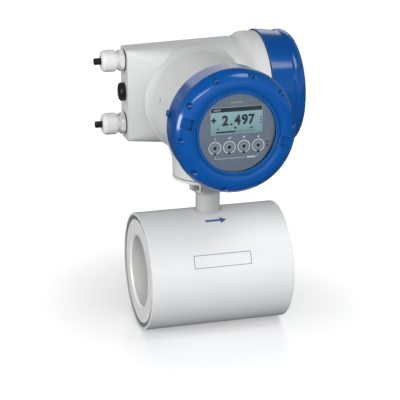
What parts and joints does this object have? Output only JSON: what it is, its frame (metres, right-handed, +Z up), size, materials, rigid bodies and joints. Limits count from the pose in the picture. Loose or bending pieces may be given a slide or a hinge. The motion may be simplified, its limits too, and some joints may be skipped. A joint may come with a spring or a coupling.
{
  "type": "electromagnetic flow meter",
  "caption": "Electromagnetic flow meter: cylindrical wafer sensor with a white ceramic tube, and a neck-mounted converter with screwed blue covers, a window display and cable glands.",
  "frame": {"origin": "centre of the measuring bore, halfway along the sensor", "axes": "+X along the bore in the direction of flow, -Y towards the viewer of the display, +Z up the neck to the converter"},
  "size_m": [0.2362, 0.2568, 0.3191],
  "materials": {
    "sensor_paint": "satin silver-grey paint",
    "ceramic": "fine matt white",
    "seal_rubber": "matt black",
    "steel": "turned stainless steel",
    "soft_iron": "bare magnet iron",
    "copper_winding": "taped copper winding",
    "casting_paint": "light grey powder coat on die-cast aluminium",
    "cover_paint": "glossy blue paint",
    "window_glass": "clear flat glass",
    "display_plastic": "dark plastic",
    "faceplate": "grey-blue printed front",
    "lcd": "lit liquid-crystal screen",
    "key_lens": "dark infrared window",
    "electronics_plastic": "black moulded plastic",
    "terminal_plastic": "green moulded terminals",
    "flap_plastic": "yellow moulded flap",
    "gland_plastic": "white polyamide",
    "black_plastic": "black polyamide"
  },
  "bodies": {
    "meter_body": {"sensor_shell": "sensor_paint", "measuring_tube": "ceramic", "front_electrode": "steel", "rear_electrode": "steel", "electrode_nuts": "steel", "inlet_end_ring": "steel", "outlet_end_ring": "steel", "inlet_end_seal": "seal_rubber", "outlet_end_seal": "seal_rubber", "magnet_yoke": "soft_iron", "upper_pole_shoe": "soft_iron", "lower_pole_shoe": "soft_iron", "upper_field_coil": "copper_winding", "lower_field_coil": "copper_winding", "neck_pipe": "sensor_paint", "union_ring": "steel", "sensor_lead": "electronics_plastic", "base_plate": "casting_paint", "base_gasket": "seal_rubber", "base_screws": "steel", "base_washers": "steel", "converter_housing": "casting_paint", "bay_feedthrough": "electronics_plastic", "electronics_cassette": "electronics_plastic", "display_module": "display_plastic", "display_screws": "steel", "display_faceplate": "faceplate", "lcd_panel": "lcd", "optical_key_lenses": "key_lens", "terminal_carrier": "electronics_plastic", "signal_terminal_block": "terminal_plastic", "power_terminal_block": "terminal_plastic", "terminal_screws": "steel", "flap_pin": "steel", "blind_plug": "black_plastic", "blind_plug_washer": "seal_rubber", "earth_clamp": "steel", "earth_screw": "steel", "upper_gland_body": "gland_plastic", "upper_gland_washer": "seal_rubber", "upper_gland_insert": "seal_rubber", "upper_gland_blanking_pin": "black_plastic", "lower_gland_body": "gland_plastic", "lower_gland_washer": "seal_rubber", "lower_gland_insert": "seal_rubber", "lower_gland_blanking_pin": "black_plastic"},
    "front_cover_seal_group": {"front_cover_oring": "seal_rubber"},
    "front_cover_group": {"front_cover": "cover_paint", "window_seal": "seal_rubber", "window_glass": "window_glass", "glass_retainer": "display_plastic"},
    "terminal_cover_seal_group": {"terminal_cover_oring": "seal_rubber"},
    "terminal_cover_group": {"terminal_cover": "cover_paint"},
    "upper_gland_ring_group": {"upper_gland_ring": "gland_plastic"},
    "upper_gland_nut_group": {"upper_gland_nut": "gland_plastic"},
    "lower_gland_ring_group": {"lower_gland_ring": "gland_plastic"},
    "lower_gland_nut_group": {"lower_gland_nut": "gland_plastic"},
    "safety_flap_group": {"safety_flap": "flap_plastic"}
  },
  "joints": [
    {"name": "front_cover_travel", "type": "slide", "parent": "meter_body", "child": "front_cover_seal_group", "axis": [0, -1, 0], "range_m": [0, 0.012]},
    {"name": "front_cover_turn", "type": "hinge", "parent": "front_cover_seal_group", "child": "front_cover_group", "pos_m": [0, -0.0664, 0.1838], "axis": [0, -1, 0], "range_deg": [0, 2160]},
    {"name": "terminal_cover_travel", "type": "slide", "parent": "meter_body", "child": "terminal_cover_seal_group", "axis": [1, 0, 0], "range_m": [0, 0.012]},
    {"name": "terminal_cover_turn", "type": "hinge", "parent": "terminal_cover_seal_group", "child": "terminal_cover_group", "pos_m": [0.0796, 0.075, 0.1838], "axis": [1, 0, 0], "range_deg": [0, 2160]},
    {"name": "upper_gland_nut_travel", "type": "slide", "parent": "meter_body", "child": "upper_gland_ring_group", "axis": [-1, 0, 0], "range_m": [0, 0.006]},
    {"name": "upper_gland_nut_turn", "type": "hinge", "parent": "upper_gland_ring_group", "child": "upper_gland_nut_group", "pos_m": [-0.09, 0.0605, 0.23], "axis": [-1, 0, 0], "range_deg": [0, 1440]},
    {"name": "lower_gland_nut_travel", "type": "slide", "parent": "meter_body", "child": "lower_gland_ring_group", "axis": [-1, 0, 0], "range_m": [0, 0.006]},
    {"name": "lower_gland_nut_turn", "type": "hinge", "parent": "lower_gland_ring_group", "child": "lower_gland_nut_group", "pos_m": [-0.09, 0.0605, 0.1576], "axis": [-1, 0, 0], "range_deg": [0, 1440]},
    {"name": "safety_flap_hinge", "type": "hinge", "parent": "meter_body", "child": "safety_flap_group", "pos_m": [0.0594, 0.075, 0.2155], "axis": [0, -1, 0], "range_deg": [0, 90]}
  ],
  "couplings": [
    {"joint": "front_cover_travel", "follows": "front_cover_turn", "m_per_rad": 0.00031831},
    {"joint": "terminal_cover_travel", "follows": "terminal_cover_turn", "m_per_rad": 0.00031831},
    {"joint": "upper_gland_nut_travel", "follows": "upper_gland_nut_turn", "m_per_rad": 0.00023873},
    {"joint": "lower_gland_nut_travel", "follows": "lower_gland_nut_turn", "m_per_rad": 0.00023873}
  ]
}
